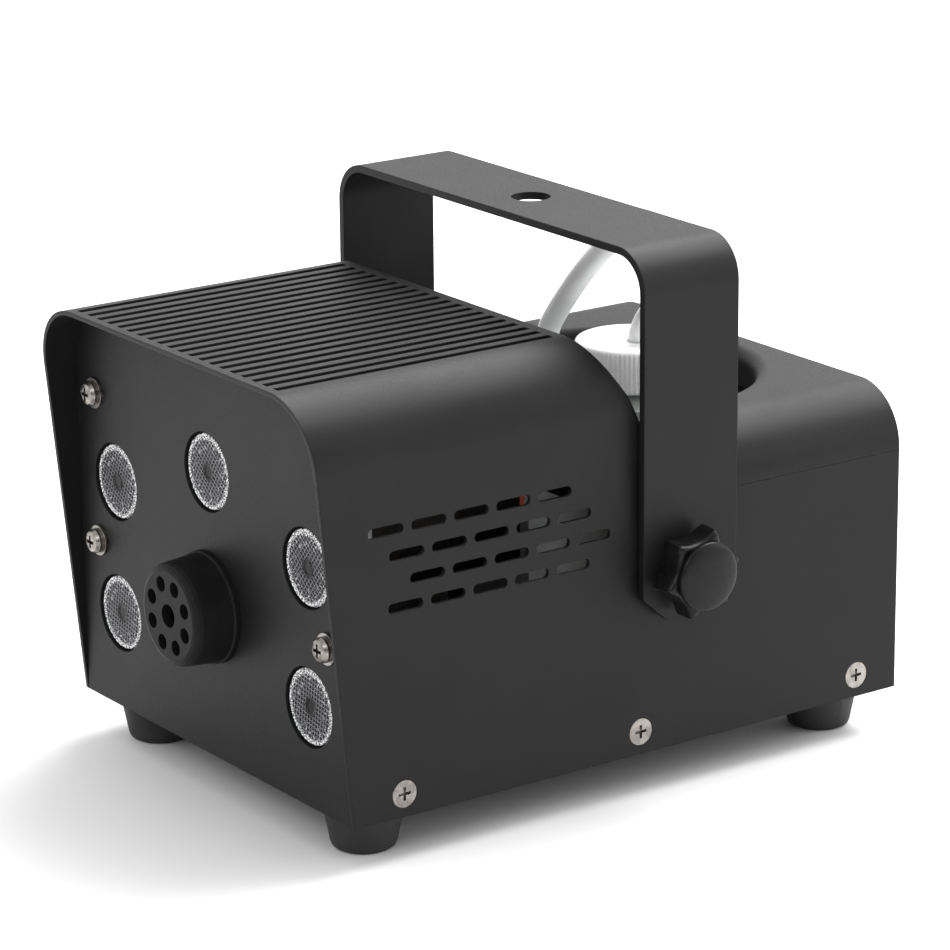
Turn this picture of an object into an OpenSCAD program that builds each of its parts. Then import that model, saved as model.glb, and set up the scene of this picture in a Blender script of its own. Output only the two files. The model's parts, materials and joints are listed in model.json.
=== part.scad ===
// Compact fog machine with LED lamps: folded sheet casing, carrying bracket with two star knobs,
// fluid bottle in a well behind the step, solenoid pump, heater block and rear electrical inlet.
// All shapes are drawn with the front panel's outer face at y = 0 and the casing's underside at z = 0,
// then moved so that the origin is the centre of the footprint, at the height the feet stand on.

/* [Casing] */
// Width over the side walls
body_w = 130; // [130:0.5:131]
// Length from the front panel to the rear edge
body_l = 175; // [175:0.5:176]
// Height of the front section above the underside
front_h = 110; // [109:0.5:111]
// Height of the rear deck above the underside
deck_h = 83; // [83:0.5:84]
// How far the hood overhangs the front panel at its top
hood_out = 11; // [9:0.5:12]
// Sheet thickness of the casing
sheet = 1.2; // [1.2:0.1:1.3]
// Outside radius of the front section's top bends
top_r = 17.5; // [16:0.5:18]
// Outside radius of the rear deck's shoulder bends
deck_r = 16; // [15:0.5:16]

/* [Grille and vents] */
// Number of slots in the top grille
grille_n = 20; // [12:1:20]
// Distance between slots
grille_pitch = 4.9; // [4.6:0.1:4.9]
// Width of one grille slot
grille_w = 2.4; // [1.8:0.1:2.6]
// Number of side vent slots in each row
vent_n = 5; // [3:1:5]
// Length of one side vent slot
vent_len = 10.4; // [8:0.2:10.8]
// Height of one side vent slot
vent_h = 2.7; // [2:0.1:3]

/* [Bracket] */
// Width of the flat strap
strap_w = 30; // [28:1:30]
// Strap thickness
strap_t = 2; // [2:0.1:2.2]
// Height of the strap's top face above the underside
strap_top = 133.4; // [130:0.2:136]
// Radius of the hanging hole in the middle of the strap
hang_r = 5.25; // [4:0.05:6]
// Outside diameter of the star knobs
knob_d = 24.6; // [22.2:0.4:26.2]

/* [Lamps and outlet] */
// Diameter of one lamp lens
lens_d = 20; // [18:0.5:20]
// Radius of the fog outlet guard at the panel
guard_r = 14.5; // [14:0.1:15]
// How far the guard stands out of the panel
guard_out = 12.5; // [11:0.5:12.5]

/* [Fluid] */
// Outer radius of the fluid bottle
bottle_r = 29; // [27:0.5:29]
// Outer radius of the feed hose
hose_r = 3.1; // [2.8:0.1:3.1]

/* [Hidden] */

$fn = 64;
foot_h = 12;                 // height of the rubber feet
mid_y = 83.65;               // middle of the footprint
step_y = 77;                 // rear edge of the front section's top
wing_y = 90;                 // rear edge of the front section's sides
wing_z = 84;                 // height where the slanted side edge ends
seam_z = 66.5;               // top edge of the rear side walls
in_w = body_w - 2 * sheet;   // clear width between the side walls
ix = body_w / 2 - sheet;     // inside face of a side wall
ox = body_w / 2;             // outside face of a side wall
piv_y = 100;                 // bracket pivot
piv_z = 49.5;
strap_y = 102;               // middle of the strap
strap_in = ox + 1.5;         // inside face of a strap leg
strap_out = strap_in + strap_t;
well_y = 125;                // centre of the bottle well
well_r = 41.5;               // clear radius of the well's mouth
lip_r = 3.5;                 // radius of the rolled lip
bot_x = 4.5;                 // axis of the bottle
bot_y = 132;
fog_z = 40.5;                // height of the fog outlet
lamps = [[-45.4, 62.7], [-45.4, 26.4], [0, 76.4], [45.4, 62.7], [45.4, 26.4]];
panel_screws = [[-54.6, 85], [-54.6, 44.4], [54.6, 44.4]];
side_ys = [15.2, 89, 161.5];
side_z = 6;
rear_screw_xz = [[-56, 56], [56, 56], [-18, 7], [18, 7]];
foot_xy = [[-49, 13.4], [49, 13.4], [-49, 162], [49, 162]];
vent_rows = [[5.4, 75.2], [11.5, 68.4], [17.6, 61.7], [11.0, 55]];
vent_pitch = 12.75;
pump_x = -49;
pump_z = 34;
inlet_x = 41;
inlet_z = 33;
sw_x = -42;
sw_z = 24;
lamp_z = 50;
black = [0.12, 0.12, 0.12];

// ---- helpers ----
module place() translate([0, -mid_y, foot_h]) children();
// a drawing in the x-z plane, stretched from y0 to y1
module yext(y0, y1) translate([0, y1, 0]) rotate([90, 0, 0]) linear_extrude(y1 - y0) children();
// a drawing in the y-z plane, stretched from x0 to x1
module xext(x0, x1) translate([x0, 0, 0]) rotate([90, 0, 90]) linear_extrude(x1 - x0) children();
module ycyl(x, z, r, y0, y1) translate([x, y0, z]) rotate([-90, 0, 0]) cylinder(r = r, h = y1 - y0);
module xcyl(y, z, r, x0, x1) translate([x0, y, z]) rotate([0, 90, 0]) cylinder(r = r, h = x1 - x0);
module zcyl(x, y, r, z0, z1) translate([x, y, z0]) cylinder(r = r, h = z1 - z0);
module box(a, b) translate(a) cube(b - a);
// round-shouldered outline standing on z = 0
module arch2d(w, h, r) {
  translate([-w / 2, 0]) square([w, h - r]);
  translate([-w / 2 + r, 0]) square([w - 2 * r, h]);
  for (s = [-1, 1]) translate([s * (w / 2 - r), h - r]) circle(r, $fn = 96);
}
module shell2d(w, h, r, t) difference() {
  arch2d(w, h, r);
  translate([0, -1]) arch2d(w - 2 * t, h - t + 1, r - t);
}
// ring drawn about the +Y axis direction
module yring(x, z, ro, ri, y0, y1) difference() {
  ycyl(x, z, ro, y0, y1);
  ycyl(x, z, ri, y0 - 1, y1 + 1);
}
module xring(y, z, ro, ri, x0, x1) difference() {
  xcyl(y, z, ro, x0, x1);
  xcyl(y, z, ri, x0 - 1, x1 + 1);
}
// cross recess for a screw whose head faces along +Z, floor at z = 0
module cross_cut(l, w, d) {
  translate([-l / 2, -w / 2, -d]) cube([l, w, d + 1]);
  translate([-w / 2, -l / 2, -d]) cube([w, l, d + 1]);
}
// points of a smooth route through chosen points
function cr(a, b, c, d, t) = 0.5 * ((2 * b) + (c - a) * t + (2 * a - 5 * b + 4 * c - d) * t * t
  + (3 * b - a - 3 * c + d) * t * t * t);
function route(p, n) = concat([for (i = [0:len(p) - 2]) for (j = [0:n - 1])
  cr(p[max(i - 1, 0)], p[i], p[i + 1], p[min(i + 2, len(p) - 1)], j / n)], [p[len(p) - 1]]);
function unit(v) = v / norm(v);
function tang(p, i) = unit(p[min(i + 1, len(p) - 1)] - p[max(i - 1, 0)]);
function side(p, i, n) = let (t = tang(p, i)) unit(n - (n * t) * t);
function sides(p, i, n) = i >= len(p) ? [] : let (m = side(p, i, n)) concat([m], sides(p, i + 1, m));
// round tube swept along a route
module tube(p, r, s, n0) {
  ns = sides(p, 0, n0);
  pts = [for (i = [0:len(p) - 1]) let (t = tang(p, i), n = ns[i], b = cross(t, n))
    for (k = [0:s - 1]) p[i] + r * (cos(360 * k / s) * n + sin(360 * k / s) * b)];
  last = (len(p) - 1) * s;
  polyhedron(points = pts, faces = concat(
    [[for (k = [0:s - 1]) k]],
    [for (i = [0:len(p) - 2]) for (k = [0:s - 1])
      [i * s + k, (i + 1) * s + k, (i + 1) * s + (k + 1) % s, i * s + (k + 1) % s]],
    [[for (k = [s - 1:-1:0]) last + k]]), convexity = 6);
}

// ---- casing ----
module base_tray() color(black) place() difference() {
  union() {
    box([-ix + 0.1, 1.3, 0], [ix - 0.1, 173.2, sheet]);
    for (s = [0, 1]) mirror([s, 0, 0]) box([ix - 0.1 - sheet, 1.3, 0], [ix - 0.1, 173.2, 13]);
  }
  for (y = side_ys) xcyl(y, side_z, 1.85, -80, 80);
  for (s = [0, 1]) mirror([s, 0, 0]) for (y = side_ys) xcyl(y, side_z, 2.7, 62.95, 80);
  for (f = foot_xy) zcyl(f[0], f[1], 2, -5, 5);
  for (x = [-24:6:24]) for (y = [30, 44, 58]) box([x - 1.3, y, -1], [x + 1.3, y + 10, 5]);
}
module front_panel() color([0.2, 0.2, 0.2]) place() difference() {
  union() {
    yext(0, sheet) arch2d(in_w - 0.2, front_h - sheet - 0.1, top_r - sheet);
    box([-50, sheet - 0.2, sheet + 0.05], [50, 9, 2 * sheet + 0.05]);
  }
  for (p = lamps) ycyl(p[0], p[1], 10.5, -1, 3);
  for (p = panel_screws) ycyl(p[0], p[1], 2.1, -1, 3);
  ycyl(0, fog_z, 13, -1, 3);
  for (f = foot_xy) zcyl(f[0], f[1], 4.5, 0, 5);
}
module rear_panel() color(black) place() difference() {
  union() {
    yext(173.3, 174.5) arch2d(in_w - 0.2, deck_h - sheet - 0.1, deck_r - sheet);
    box([-50, 168, sheet + 0.05], [50, 173.5, 2 * sheet + 0.05]);
  }
  box([inlet_x - 13.8, 170, inlet_z - 16.3], [inlet_x + 13.8, 180, inlet_z + 16.3]);
  box([sw_x - 6.6, 170, sw_z - 9.6], [sw_x + 6.6, 180, sw_z + 9.6]);
  ycyl(sw_x, lamp_z, 4.1, 170, 180);
  for (p = rear_screw_xz) ycyl(p[0], p[1], 1.6, 170, 180);
  for (k = [-3:3]) box([k * 5 - 1.2, 170, 50], [k * 5 + 1.2, 180, 66]);
}
// side outline of the front section and the long lower walls
module side2d() polygon([[0, 0], [-hood_out, front_h + 1], [step_y, front_h + 1], [step_y, front_h],
  [82, 101], [85, 96], [88, 89.5], [wing_y, wing_z], [wing_y, seam_z], [body_l, seam_z], [body_l, 0]]);
module main_cover() color(black) place() difference() {
  intersection() {
    yext(-hood_out - 2, body_l) shell2d(body_w, front_h, top_r, sheet);
    xext(-ox - 1, ox + 1) side2d();
  }
  for (i = [0:grille_n - 1]) let (x = (i - (grille_n - 1) / 2) * grille_pitch)
    box([x - grille_w / 2, -8.5, front_h - 6], [x + grille_w / 2, 74, front_h + 2]);
  for (r = vent_rows) for (i = [0:vent_n - 1]) let (y = r[0] + i * vent_pitch) {
    box([-ox - 2, y + vent_h / 2, r[1] - vent_h / 2], [ox + 2, y + vent_len - vent_h / 2, r[1] + vent_h / 2]);
    xcyl(y + vent_h / 2, r[1], vent_h / 2, -ox - 2, ox + 2, $fn = 24);
    xcyl(y + vent_len - vent_h / 2, r[1], vent_h / 2, -ox - 2, ox + 2, $fn = 24);
  }
  for (y = side_ys) xcyl(y, side_z, 3.7, -ox - 2, ox + 2);
  xcyl(piv_y, piv_z, 3.6, -ox - 2, ox + 2);
}
module rear_deck() color(black) place() {
  difference() {
    union() {
      intersection() {
        yext(wing_y + 0.1, body_l) shell2d(body_w, deck_h, deck_r, sheet);
        box([-80, 80, seam_z + 0.1], [80, 180, 120]);
      }
      intersection() {
        yext(step_y - 0.3, wing_y + 0.2) shell2d(in_w - 0.2, deck_h, deck_r - sheet, sheet);
        box([-80, 70, seam_z + 0.1], [80, 180, 120]);
      }
      box([-45, wing_y - 1, deck_h - sheet], [45, wing_y + 1, deck_h]);
      for (s = [0, 1]) mirror([s, 0, 0]) box([ix - 0.1 - sheet, 120, 56], [ix - 0.1, 168, 71.5]);
    }
    zcyl(0, well_y, well_r + lip_r, 60, 100, $fn = 128);
  }
  translate([0, well_y, 0]) rotate_extrude($fn = 128) {
    intersection() {
      translate([well_r + lip_r, deck_h - lip_r]) difference() { circle(lip_r, $fn = 48); circle(lip_r - sheet, $fn = 48); }
      translate([well_r, deck_h - lip_r]) square([lip_r, lip_r]);
    }
    translate([well_r, deck_h - lip_r - 6]) square([sheet, 6]);
    translate([well_r + lip_r, deck_h - sheet]) square([0.3, sheet]);
  }
}
// upright wall that closes the step behind the grille
module step_panel() color(black) place() intersection() {
  xext(-ix + 0.1, ix - 0.1) polygon([[75.2, front_h - sheet - 0.05], [76.4, front_h - sheet - 0.05],
    [76.4, 68], [75.2, 68]]);
  yext(60, 95) arch2d(in_w - 0.2, front_h - sheet - 0.05, top_r - sheet);
}
// clip on the well's lip that the hose comes out of
module hose_clip() color([0.1, 0.1, 0.1]) place() difference() {
  union() {
    zcyl(-33.5, 131.5, 5, 74.5, 79);
    intersection() {
      box([-44, 129.5, 74.5], [-35, 133.5, 77.4]);
      zcyl(0, well_y, well_r - 0.02, 70, 85);
    }
  }
  zcyl(-33.5, 131.5, hose_r + 0.05, 70, 85);
}

// ---- fasteners and feet ----
module cs_screw() difference() {
  union() {
    translate([0, 0, -0.3]) cylinder(r = 3.6, h = 0.3);
    translate([0, 0, -1.9]) cylinder(r1 = 1.8, r2 = 3.6, h = 1.6);
    translate([0, 0, -9]) cylinder(r = 1.8, h = 7.2);
  }
  cross_cut(3.6, 0.8, 1.1);
}
module side_screws() color("silver") place() for (s = [0, 1]) mirror([s, 0, 0]) for (y = side_ys)
  translate([ox - 0.1, y, side_z]) rotate([0, 90, 0]) cs_screw();
module pan_screw(head_r, head_h, r, l) difference() {
  union() {
    rotate_extrude() polygon([[0, 0], [head_r, 0], [head_r, head_h * 0.45], [head_r * 0.82, head_h * 0.85], [head_r * 0.5, head_h], [0, head_h]]);
    translate([0, 0, -l]) cylinder(r = r, h = l + 0.1);
  }
  translate([0, 0, head_h]) cross_cut(head_r * 1.05, head_r * 0.26, head_h * 0.55);
}
module front_screws() color("silver") place() for (p = panel_screws)
  translate([p[0], -0.85, p[1]]) rotate([90, 0, 0]) pan_screw(3.3, 2.4, 1.95, 13);
module front_washers() color("gray") place() for (p = panel_screws) yring(p[0], p[1], 4.1, 2.1, -0.8, -0.02);
module rear_screws() color("silver") place() for (p = rear_screw_xz)
  translate([p[0], 174.55, p[1]]) rotate([-90, 0, 0]) pan_screw(2.8, 2.1, 1.5, 7);
module rubber_feet() color([0.08, 0.08, 0.08]) place() for (f = foot_xy) translate([f[0], f[1], 0])
  rotate_extrude() polygon([[2.1, -0.02], [10.2, -0.02], [10.2, -2], [8.6, -10.2], [8.2, -11.2], [7.4, -11.8], [6.6, -12],
    [4.3, -12], [4.3, -5], [2.1, -5]]);
module foot_screws() color("silver") place() for (f = foot_xy) translate([f[0], f[1], -5.05]) difference() {
  union() {
    translate([0, 0, -2.4]) cylinder(r = 3.6, h = 2.4);
    cylinder(r = 1.9, h = 11);
  }
  translate([0, 0, -2.4]) mirror([0, 0, 1]) cross_cut(3.6, 0.9, 1.2);
}

// ---- bracket and knobs ----
module bracket() color(black) place() difference() {
  intersection() {
    yext(strap_y - strap_w / 2, strap_y + strap_w / 2) shell2d(2 * strap_out, strap_top, 11, strap_t);
    xext(-80, 80) polygon([[strap_y - strap_w / 2, 43], [strap_y - 7.5, 36.3], [strap_y + 7.5, 36.3],
      [strap_y + strap_w / 2, 43], [strap_y + strap_w / 2, 150], [strap_y - strap_w / 2, 150]]);
  }
  zcyl(0, strap_y, hang_r, strap_top - 10, strap_top + 5, $fn = 96);
  xcyl(piv_y, piv_z, 3.4, -80, 80);
}
module friction_washers() color([0.15, 0.15, 0.15]) place() for (s = [0, 1]) mirror([s, 0, 0])
  xring(piv_y, piv_z, 9, 3.4, ox + 0.03, ox + 1.46);
module pivot_nuts() color("silver") place() for (s = [0, 1]) mirror([s, 0, 0])
  xring(piv_y, piv_z, 5.6, 3.05, ix - 8, ix - 0.05);
// everything on the right knob is drawn along its own axis, then turned to +X
module on_axis(s) translate([s > 0 ? strap_out : -strap_out, piv_y, piv_z]) rotate([0, s > 0 ? 90 : -90, 0]) children();
module washer_s(s) on_axis(s) difference() {
  translate([0, 0, 0.04]) cylinder(r = 7.5, h = 1);
  cylinder(r = 3.3, h = 5, center = true);
}
module knob_s(s) on_axis(s) difference() {
  union() {
    translate([0, 0, 1.1]) cylinder(r = 8.6, h = 1);
    translate([0, 0, 1.6]) cylinder(r1 = knob_d / 2 - 1, r2 = knob_d / 2 - 0.2, h = 1.2);
    translate([0, 0, 2.8]) cylinder(r1 = knob_d / 2 - 0.2, r2 = knob_d / 2 - 0.5, h = 5);
    translate([0, 0, 7.8]) cylinder(r1 = knob_d / 2 - 0.5, r2 = knob_d / 2 - 1.9, h = 1);
  }
  for (k = [0:5]) rotate(k * 60 + 30 + (s > 0 ? 180 - 18.6 : 18.6)) translate([19.6 * knob_d / 24, 0, -1]) cylinder(r = 10.6 * knob_d / 24, h = 20, $fn = 96);
  translate([0, 0, -1]) cylinder(r = 3, h = 7);
  translate([0, 0, 7.9]) cylinder(r = 7.6, h = 4);
}
module knob_cap_s(s) on_axis(s) {
  translate([0, 0, 7.95]) cylinder(r = 7.5, h = 1.3);
  translate([0, 0, 9.2]) rotate_extrude() polygon([[0, 0], [9.1, 0], [9.1, 0.9], [8.6, 1.5], [7, 2], [4, 2.4], [0, 2.6]]);
}
module knob_stud_s(s) on_axis(s) translate([0, 0, -11.5]) cylinder(r = 3, h = 17.4);
module knob_right() color(black) place() knob_s(1);
module knob_left() color(black) place() knob_s(-1);
module knob_cap_right() color(black) place() knob_cap_s(1);
module knob_cap_left() color(black) place() knob_cap_s(-1);
module knob_stud_right() color("silver") place() knob_stud_s(1);
module knob_stud_left() color("silver") place() knob_stud_s(-1);
module washer_right() color("silver") place() washer_s(1);
module washer_left() color("silver") place() washer_s(-1);

// ---- fog outlet and heater ----
module nozzle_guard() color([0.1, 0.1, 0.1]) place() translate([0, 0, fog_z]) rotate([90, 0, 0]) difference() {
  rotate_extrude($fn = 96) polygon([[11, -3], [12.9, -3], [12.9, 0.02], [guard_r + 0.3, 0.02], [guard_r + 0.3, 1.4], [guard_r - 0.2, 1.7],
    [guard_r - 0.9, guard_out - 2.2], [guard_r - 1.25, guard_out - 1.1], [guard_r - 1.9, guard_out - 0.35],
    [guard_r - 2.8, guard_out], [0, guard_out], [0, guard_out - 2.5], [11, guard_out - 2.5]]);
  for (k = [0:7]) rotate(22.5 + k * 45) translate([8.4, 0, 0]) cylinder(r = 2.05, h = 30, $fn = 32);
  cylinder(r = 3.1, h = 30, $fn = 48);
}
module nozzle() color("goldenrod") place() translate([0, 0, fog_z]) rotate([90, 0, 0]) difference() {
  union() {
    translate([0, 0, -28]) cylinder(r = 4, h = 30);
    translate([0, 0, -16]) cylinder(r = 6.5, h = 5, $fn = 6);
    translate([0, 0, 2]) cylinder(r1 = 4, r2 = 2.4, h = 3);
  }
  translate([0, 0, -30]) cylinder(r = 1.2, h = 40);
}
module heater_block() color("lightgray") place() difference() {
  union() {
    box([-23, 20, 22], [23, 84, 56]);
    for (x = [-20:8:20]) box([x - 1.5, 24, 55.5], [x + 1.5, 44, 60]);
    zcyl(0, 62, 10, 55.5, 58);
  }
  ycyl(0, fog_z, 4.05, 19, 30);
  ycyl(0, fog_z, 2, 29, 76);
  xcyl(68, fog_z, 2, -24, -1);
  for (x = [-14, 14]) ycyl(x, 31, 4.1, 26, 85);
}
module heating_elements() color("silver") place() for (x = [-14, 14]) {
  ycyl(x, 31, 4, 27, 84.5);
  ycyl(x, 31, 3, 84.4, 87);
}
module thermostat() color("gainsboro") place() {
  zcyl(0, 62, 8, 58.05, 63);
  zcyl(0, 62, 6.2, 62.9, 68);
  for (x = [-3.5, 3.5]) box([x - 0.4, 59, 67.9], [x + 0.4, 65, 73]);
}
module heater_brackets() color("silver") place() for (y = [31, 66]) {
  box([-24.5, y, 20.8], [24.5, y + 10, 21.98]);
  for (s = [0, 1]) mirror([s, 0, 0]) {
    box([23.4, y, sheet + 0.02], [24.5, y + 10, 21.98]);
    box([23.4, y, sheet + 0.02], [34, y + 10, sheet + 1.2]);
  }
}
module heat_shield() color("silver") place() difference() {
  union() {
    box([-33, 20, 77], [33, 74, 78]);
    for (s = [0, 1]) mirror([s, 0, 0]) {
      box([32, 20, 44], [33, 74, 78]);
      box([32, 24, sheet + 0.02], [33, 30, 44.1]);
      box([32, 52, sheet + 0.02], [33, 58, 44.1]);
      box([32, 24, sheet + 0.02], [40, 30, sheet + 1]);
      box([32, 52, sheet + 0.02], [40, 58, sheet + 1]);
    }
  }
  for (x = [-24:8:24]) box([x - 1.5, 28, 70], [x + 1.5, 66, 90]);
}
// ---- lamps ----
module led_board() color("white") place() difference() {
  yext(9, 10.6) difference() {
    translate([-59, 14]) square([118, 77]);
    translate([0, fog_z]) circle(15);
  }
  for (p = panel_screws) ycyl(p[0], p[1], 2.05, 0, 20);
}
module led_chips() color("khaki") place() for (p = lamps) {
  box([p[0] - 2.5, 8.2, p[1] - 2.5], [p[0] + 2.5, 8.98, p[1] + 2.5]);
  ycyl(p[0], p[1], 1.6, 7.7, 8.3);
}
module lens_holders() color([0.1, 0.1, 0.1]) place() for (p = lamps) translate([p[0], 8.98, p[1]]) rotate([90, 0, 0])
  rotate_extrude() polygon([[5.2, 0], [10.4, 0], [11.6, 5], [11.6, 7.6], [10.2, 7.6], [10.2, 5.6], [8.8, 5.6], [5.2, 1.4]]);
module led_lenses() color([0.85, 0.9, 0.95, 0.6]) place() for (p = lamps) translate([p[0], 8.98, p[1]]) rotate([90, 0, 0])
  rotate_extrude() polygon([[0, 2], [4.4, 1.6], [8.2, 5.7], [lens_d / 2, 5.7], [lens_d / 2, 8], [lens_d / 2 - 0.5, 8.4], [0, 8.4]]);

// ---- pump ----
module pump_coil() color([0.6, 0.15, 0.1]) place() {
  yring(pump_x, pump_z, 12.4, 5.1, 110.1, 131.9);
}
module pump_yoke() color("silver") place() {
  difference() {
    union() {
      box([pump_x - 12.5, 108, 20], [pump_x + 12.5, 110, 48]);
      box([pump_x - 12.5, 132, 20], [pump_x + 12.5, 134, 48]);
      box([pump_x - 12.5, 108, 20], [pump_x + 12.5, 134, 21.4]);
    }
    ycyl(pump_x, pump_z, 5.1, 100, 140);
  }
}
module pump_inlet() color("ivory") place() difference() {
  union() {
    ycyl(pump_x, pump_z, 5, 104, 120);
    ycyl(pump_x, pump_z, 7, 105, 107.9);
    ycyl(pump_x, pump_z, 2.1, 97, 104.1);
  }
  ycyl(pump_x, pump_z, 1.2, 90, 106);
  ycyl(pump_x, pump_z, 4.1, 106, 121);
}
module pump_outlet() color("goldenrod") place() difference() {
  union() {
    ycyl(pump_x, pump_z, 5, 120.05, 140);
    ycyl(pump_x, pump_z, 7.5, 134.1, 139);
    ycyl(pump_x, pump_z, 2.4, 139.9, 144);
  }
  ycyl(pump_x, pump_z, 4.1, 119, 133);
  ycyl(pump_x, pump_z, 1.2, 132, 150);
}
module pump_plunger() color("silver") place() ycyl(pump_x, pump_z, 4.04, 108, 119);
module pump_spring() color("silver") place() yring(pump_x, pump_z, 3.6, 2.8, 120.8, 131.9);
module pump_mounts() color([0.1, 0.1, 0.1]) place() for (y = [112, 126])
  difference() {
    box([pump_x - 8, y, sheet + 0.02], [pump_x + 8, y + 4, 19.98]);
    box([pump_x - 3.5, y - 1, 5], [pump_x + 3.5, y + 5, 14]);
  }
tube_pts = [[-49, 144.15, 34], [-49.1, 146.2, 34], [-50.2, 149.4, 33], [-53, 152.5, 29], [-54.5, 153, 21], [-54.5, 149, 13.5], [-53, 140, 10], [-50, 128, 9.5],
  [-49, 108, 9.5], [-49, 92, 10], [-48, 80, 14], [-45, 72, 25], [-40, 68, 36], [-33, 68, 40.5], [-23, 68, 40.5]];
module delivery_tube() color("ivory") place() tube(route(tube_pts, 3), 2, 8, [1, 0, 0]);

// ---- fluid ----
module bottle() color([0.9, 0.9, 0.88]) place() translate([bot_x, bot_y, 0]) rotate_extrude($fn = 96)
  polygon([[0, 3.6], [bottle_r - 3, 3.6], [bottle_r - 0.8, 4.6], [bottle_r, 7], [bottle_r, 54], [bottle_r - 1.6, 60], [bottle_r - 6, 66.5],
    [20, 71.5], [15, 75.4], [13.1, 77], [13.1, 88], [11.4, 88], [11.4, 76.4], [19.2, 70.2], [bottle_r - 7, 65.4],
    [bottle_r - 2.7, 59.4], [bottle_r - 1.2, 53.6], [bottle_r - 1.2, 7.4], [bottle_r - 2.4, 5], [0, 5]]);
// screw ring that turns round the bush, so the hose doesn't twist
module bottle_cap() color("white") place() translate([bot_x, bot_y, 0]) rotate_extrude($fn = 96)
  polygon([[8.65, 91.2], [14.7, 91.2], [15.3, 90.9], [15.5, 90.2], [15.5, 79.2], [13.6, 79.2], [13.6, 89.4], [8.65, 89.4]]);
module cap_liner() color([0.8, 0.8, 0.75]) place() translate([bot_x, bot_y, 0]) rotate_extrude()
  polygon([[8.8, 88.7], [13.2, 88.7], [13.2, 89.38], [8.8, 89.38]]);
module hose_bush() color("white") place() difference() {
  union() {
    zcyl(bot_x, bot_y, 13.1, 88.02, 88.66);
    zcyl(bot_x, bot_y, 8.5, 88.02, 91.2);
    zcyl(bot_x, bot_y, 11.2, 84.5, 88.1);
  }
  translate([7.75, 132, 91.2]) rotate([0, 7, 0]) cylinder(r = hose_r + 0.25, h = 30, center = true);
}
// feed hose: from the pump's inlet up to the clip, over in a loop, in through the bush, down to the bottle's floor
hose_pts = [[-49, 96.8, 34], [-49, 90, 34.3], [-49, 84, 38.3], [-49, 82.5, 45.5], [-48.8, 86.5, 53], [-48, 95, 57], [-45, 105, 58.4],
  [-40.5, 116, 60.5], [-36, 125.5, 65], [-33.8, 130.5, 71.5], [-33.5, 131.5, 76], [-33.5, 131.5, 80], [-32.2, 131.7, 86.4], [-28.8, 132.3, 92],
  [-24.9, 132.9, 97.3], [-20.9, 133.7, 102.5], [-16.9, 135, 107.6], [-12.9, 136.8, 112.5], [-8.4, 138.6, 117], [-3, 140, 120.5],
  [3.2, 140.7, 122.5], [9.7, 139.8, 122.1], [15, 137.5, 119.1], [17.9, 134.6, 114], [17.6, 132.7, 107.8], [14.6, 132, 101.9],
  [10.4, 132, 97], [7.8, 132, 91.2], [7, 132, 84], [5.8, 132, 70], [4.5, 132, 50], [4.5, 132, 30], [4.5, 132, 17]];
module feed_hose() color([0.93, 0.93, 0.93]) place() tube(route(hose_pts, 2), hose_r, 10, [1, 0, 0]);
module pickup_filter() color("dimgray") place() difference() {
  zcyl(bot_x, bot_y, 5, 6, 19);
  zcyl(bot_x, bot_y, 3.4, 16.98, 20);
  zcyl(bot_x, bot_y, 2, 8, 18);
  for (a = [0, 90]) translate([bot_x, bot_y, 10]) rotate([0, 90, a]) cylinder(r = 1.2, h = 20, center = true);
}
module bottle_cradle() color([0.15, 0.15, 0.15]) place() difference() {
  zcyl(bot_x, bot_y, bottle_r + 2, sheet + 0.05, 14, $fn = 96);
  zcyl(bot_x, bot_y, bottle_r + 0.5, 3.5, 20, $fn = 96);
}

// ---- electrics ----
module control_board() color("darkgreen") place() {
  box([37, 98, 7.9], [61, 144, 9.5]);
  for (x = [58.5, 39.5]) for (y = [101, 141]) zcyl(x, y, 2.2, sheet + 0.05, 8, $fn = 24);
}
module board_parts() color([0.2, 0.2, 0.25]) place() {
  box([46, 106, 9.55], [60, 124, 25]);
  box([38, 104, 9.55], [44, 120, 22]);
  zcyl(56, 131, 4.5, 9.55, 24);
  zcyl(56, 140, 3.2, 9.55, 18);
  box([38, 127, 9.55], [49, 136, 17]);
  box([38, 98.5, 9.55], [48, 102.5, 17]);
}
module inlet_socket() color([0.1, 0.1, 0.1]) place() difference() {
  union() {
    box([inlet_x - 15.5, 174.55, inlet_z - 18.5], [inlet_x + 15.5, 176.8, inlet_z + 18.5]);
    box([inlet_x - 13.5, 151, inlet_z - 16], [inlet_x + 13.5, 174.6, inlet_z + 16]);
  }
  difference() {
    box([inlet_x - 12, 159, inlet_z - 4.5], [inlet_x + 12, 180, inlet_z + 12]);
    for (s = [-1, 1]) translate([inlet_x + s * 12, 170, inlet_z + 12]) rotate([0, 45, 0]) cube([5, 60, 5], center = true);
  }
  box([inlet_x - 11, 155, inlet_z - 14.2], [inlet_x + 11, 180, inlet_z - 7]);
  for (p = [[0, 7], [-7, 1], [7, 1]]) box([inlet_x + p[0] - 1.05, 140, inlet_z + p[1] - 2.05], [inlet_x + p[0] + 1.05, 170, inlet_z + p[1] + 2.05]);
}
module inlet_pins() color("silver") place() for (p = [[0, 7], [-7, 1], [7, 1]])
  box([inlet_x + p[0] - 1, 146, inlet_z + p[1] - 2], [inlet_x + p[0] + 1, 171, inlet_z + p[1] + 2]);
module fuse_drawer() color([0.14, 0.14, 0.14]) place() difference() {
  union() {
    box([inlet_x - 10.7, 156, inlet_z - 13.9], [inlet_x + 10.7, 176.5, inlet_z - 7.3]);
    box([inlet_x - 10.7, 176, inlet_z - 13.9], [inlet_x + 10.7, 177.4, inlet_z - 7.3]);
  }
  box([inlet_x - 9, 158, inlet_z - 12.4], [inlet_x + 9, 165, inlet_z - 5]);
  box([inlet_x - 3, 177, inlet_z - 12], [inlet_x + 3, 178, inlet_z - 10.6]);
}
module glass_fuse() color([0.8, 0.8, 0.8]) place() xcyl(161.5, inlet_z - 9.7, 2.4, inlet_x - 8.8, inlet_x + 8.8);
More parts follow.
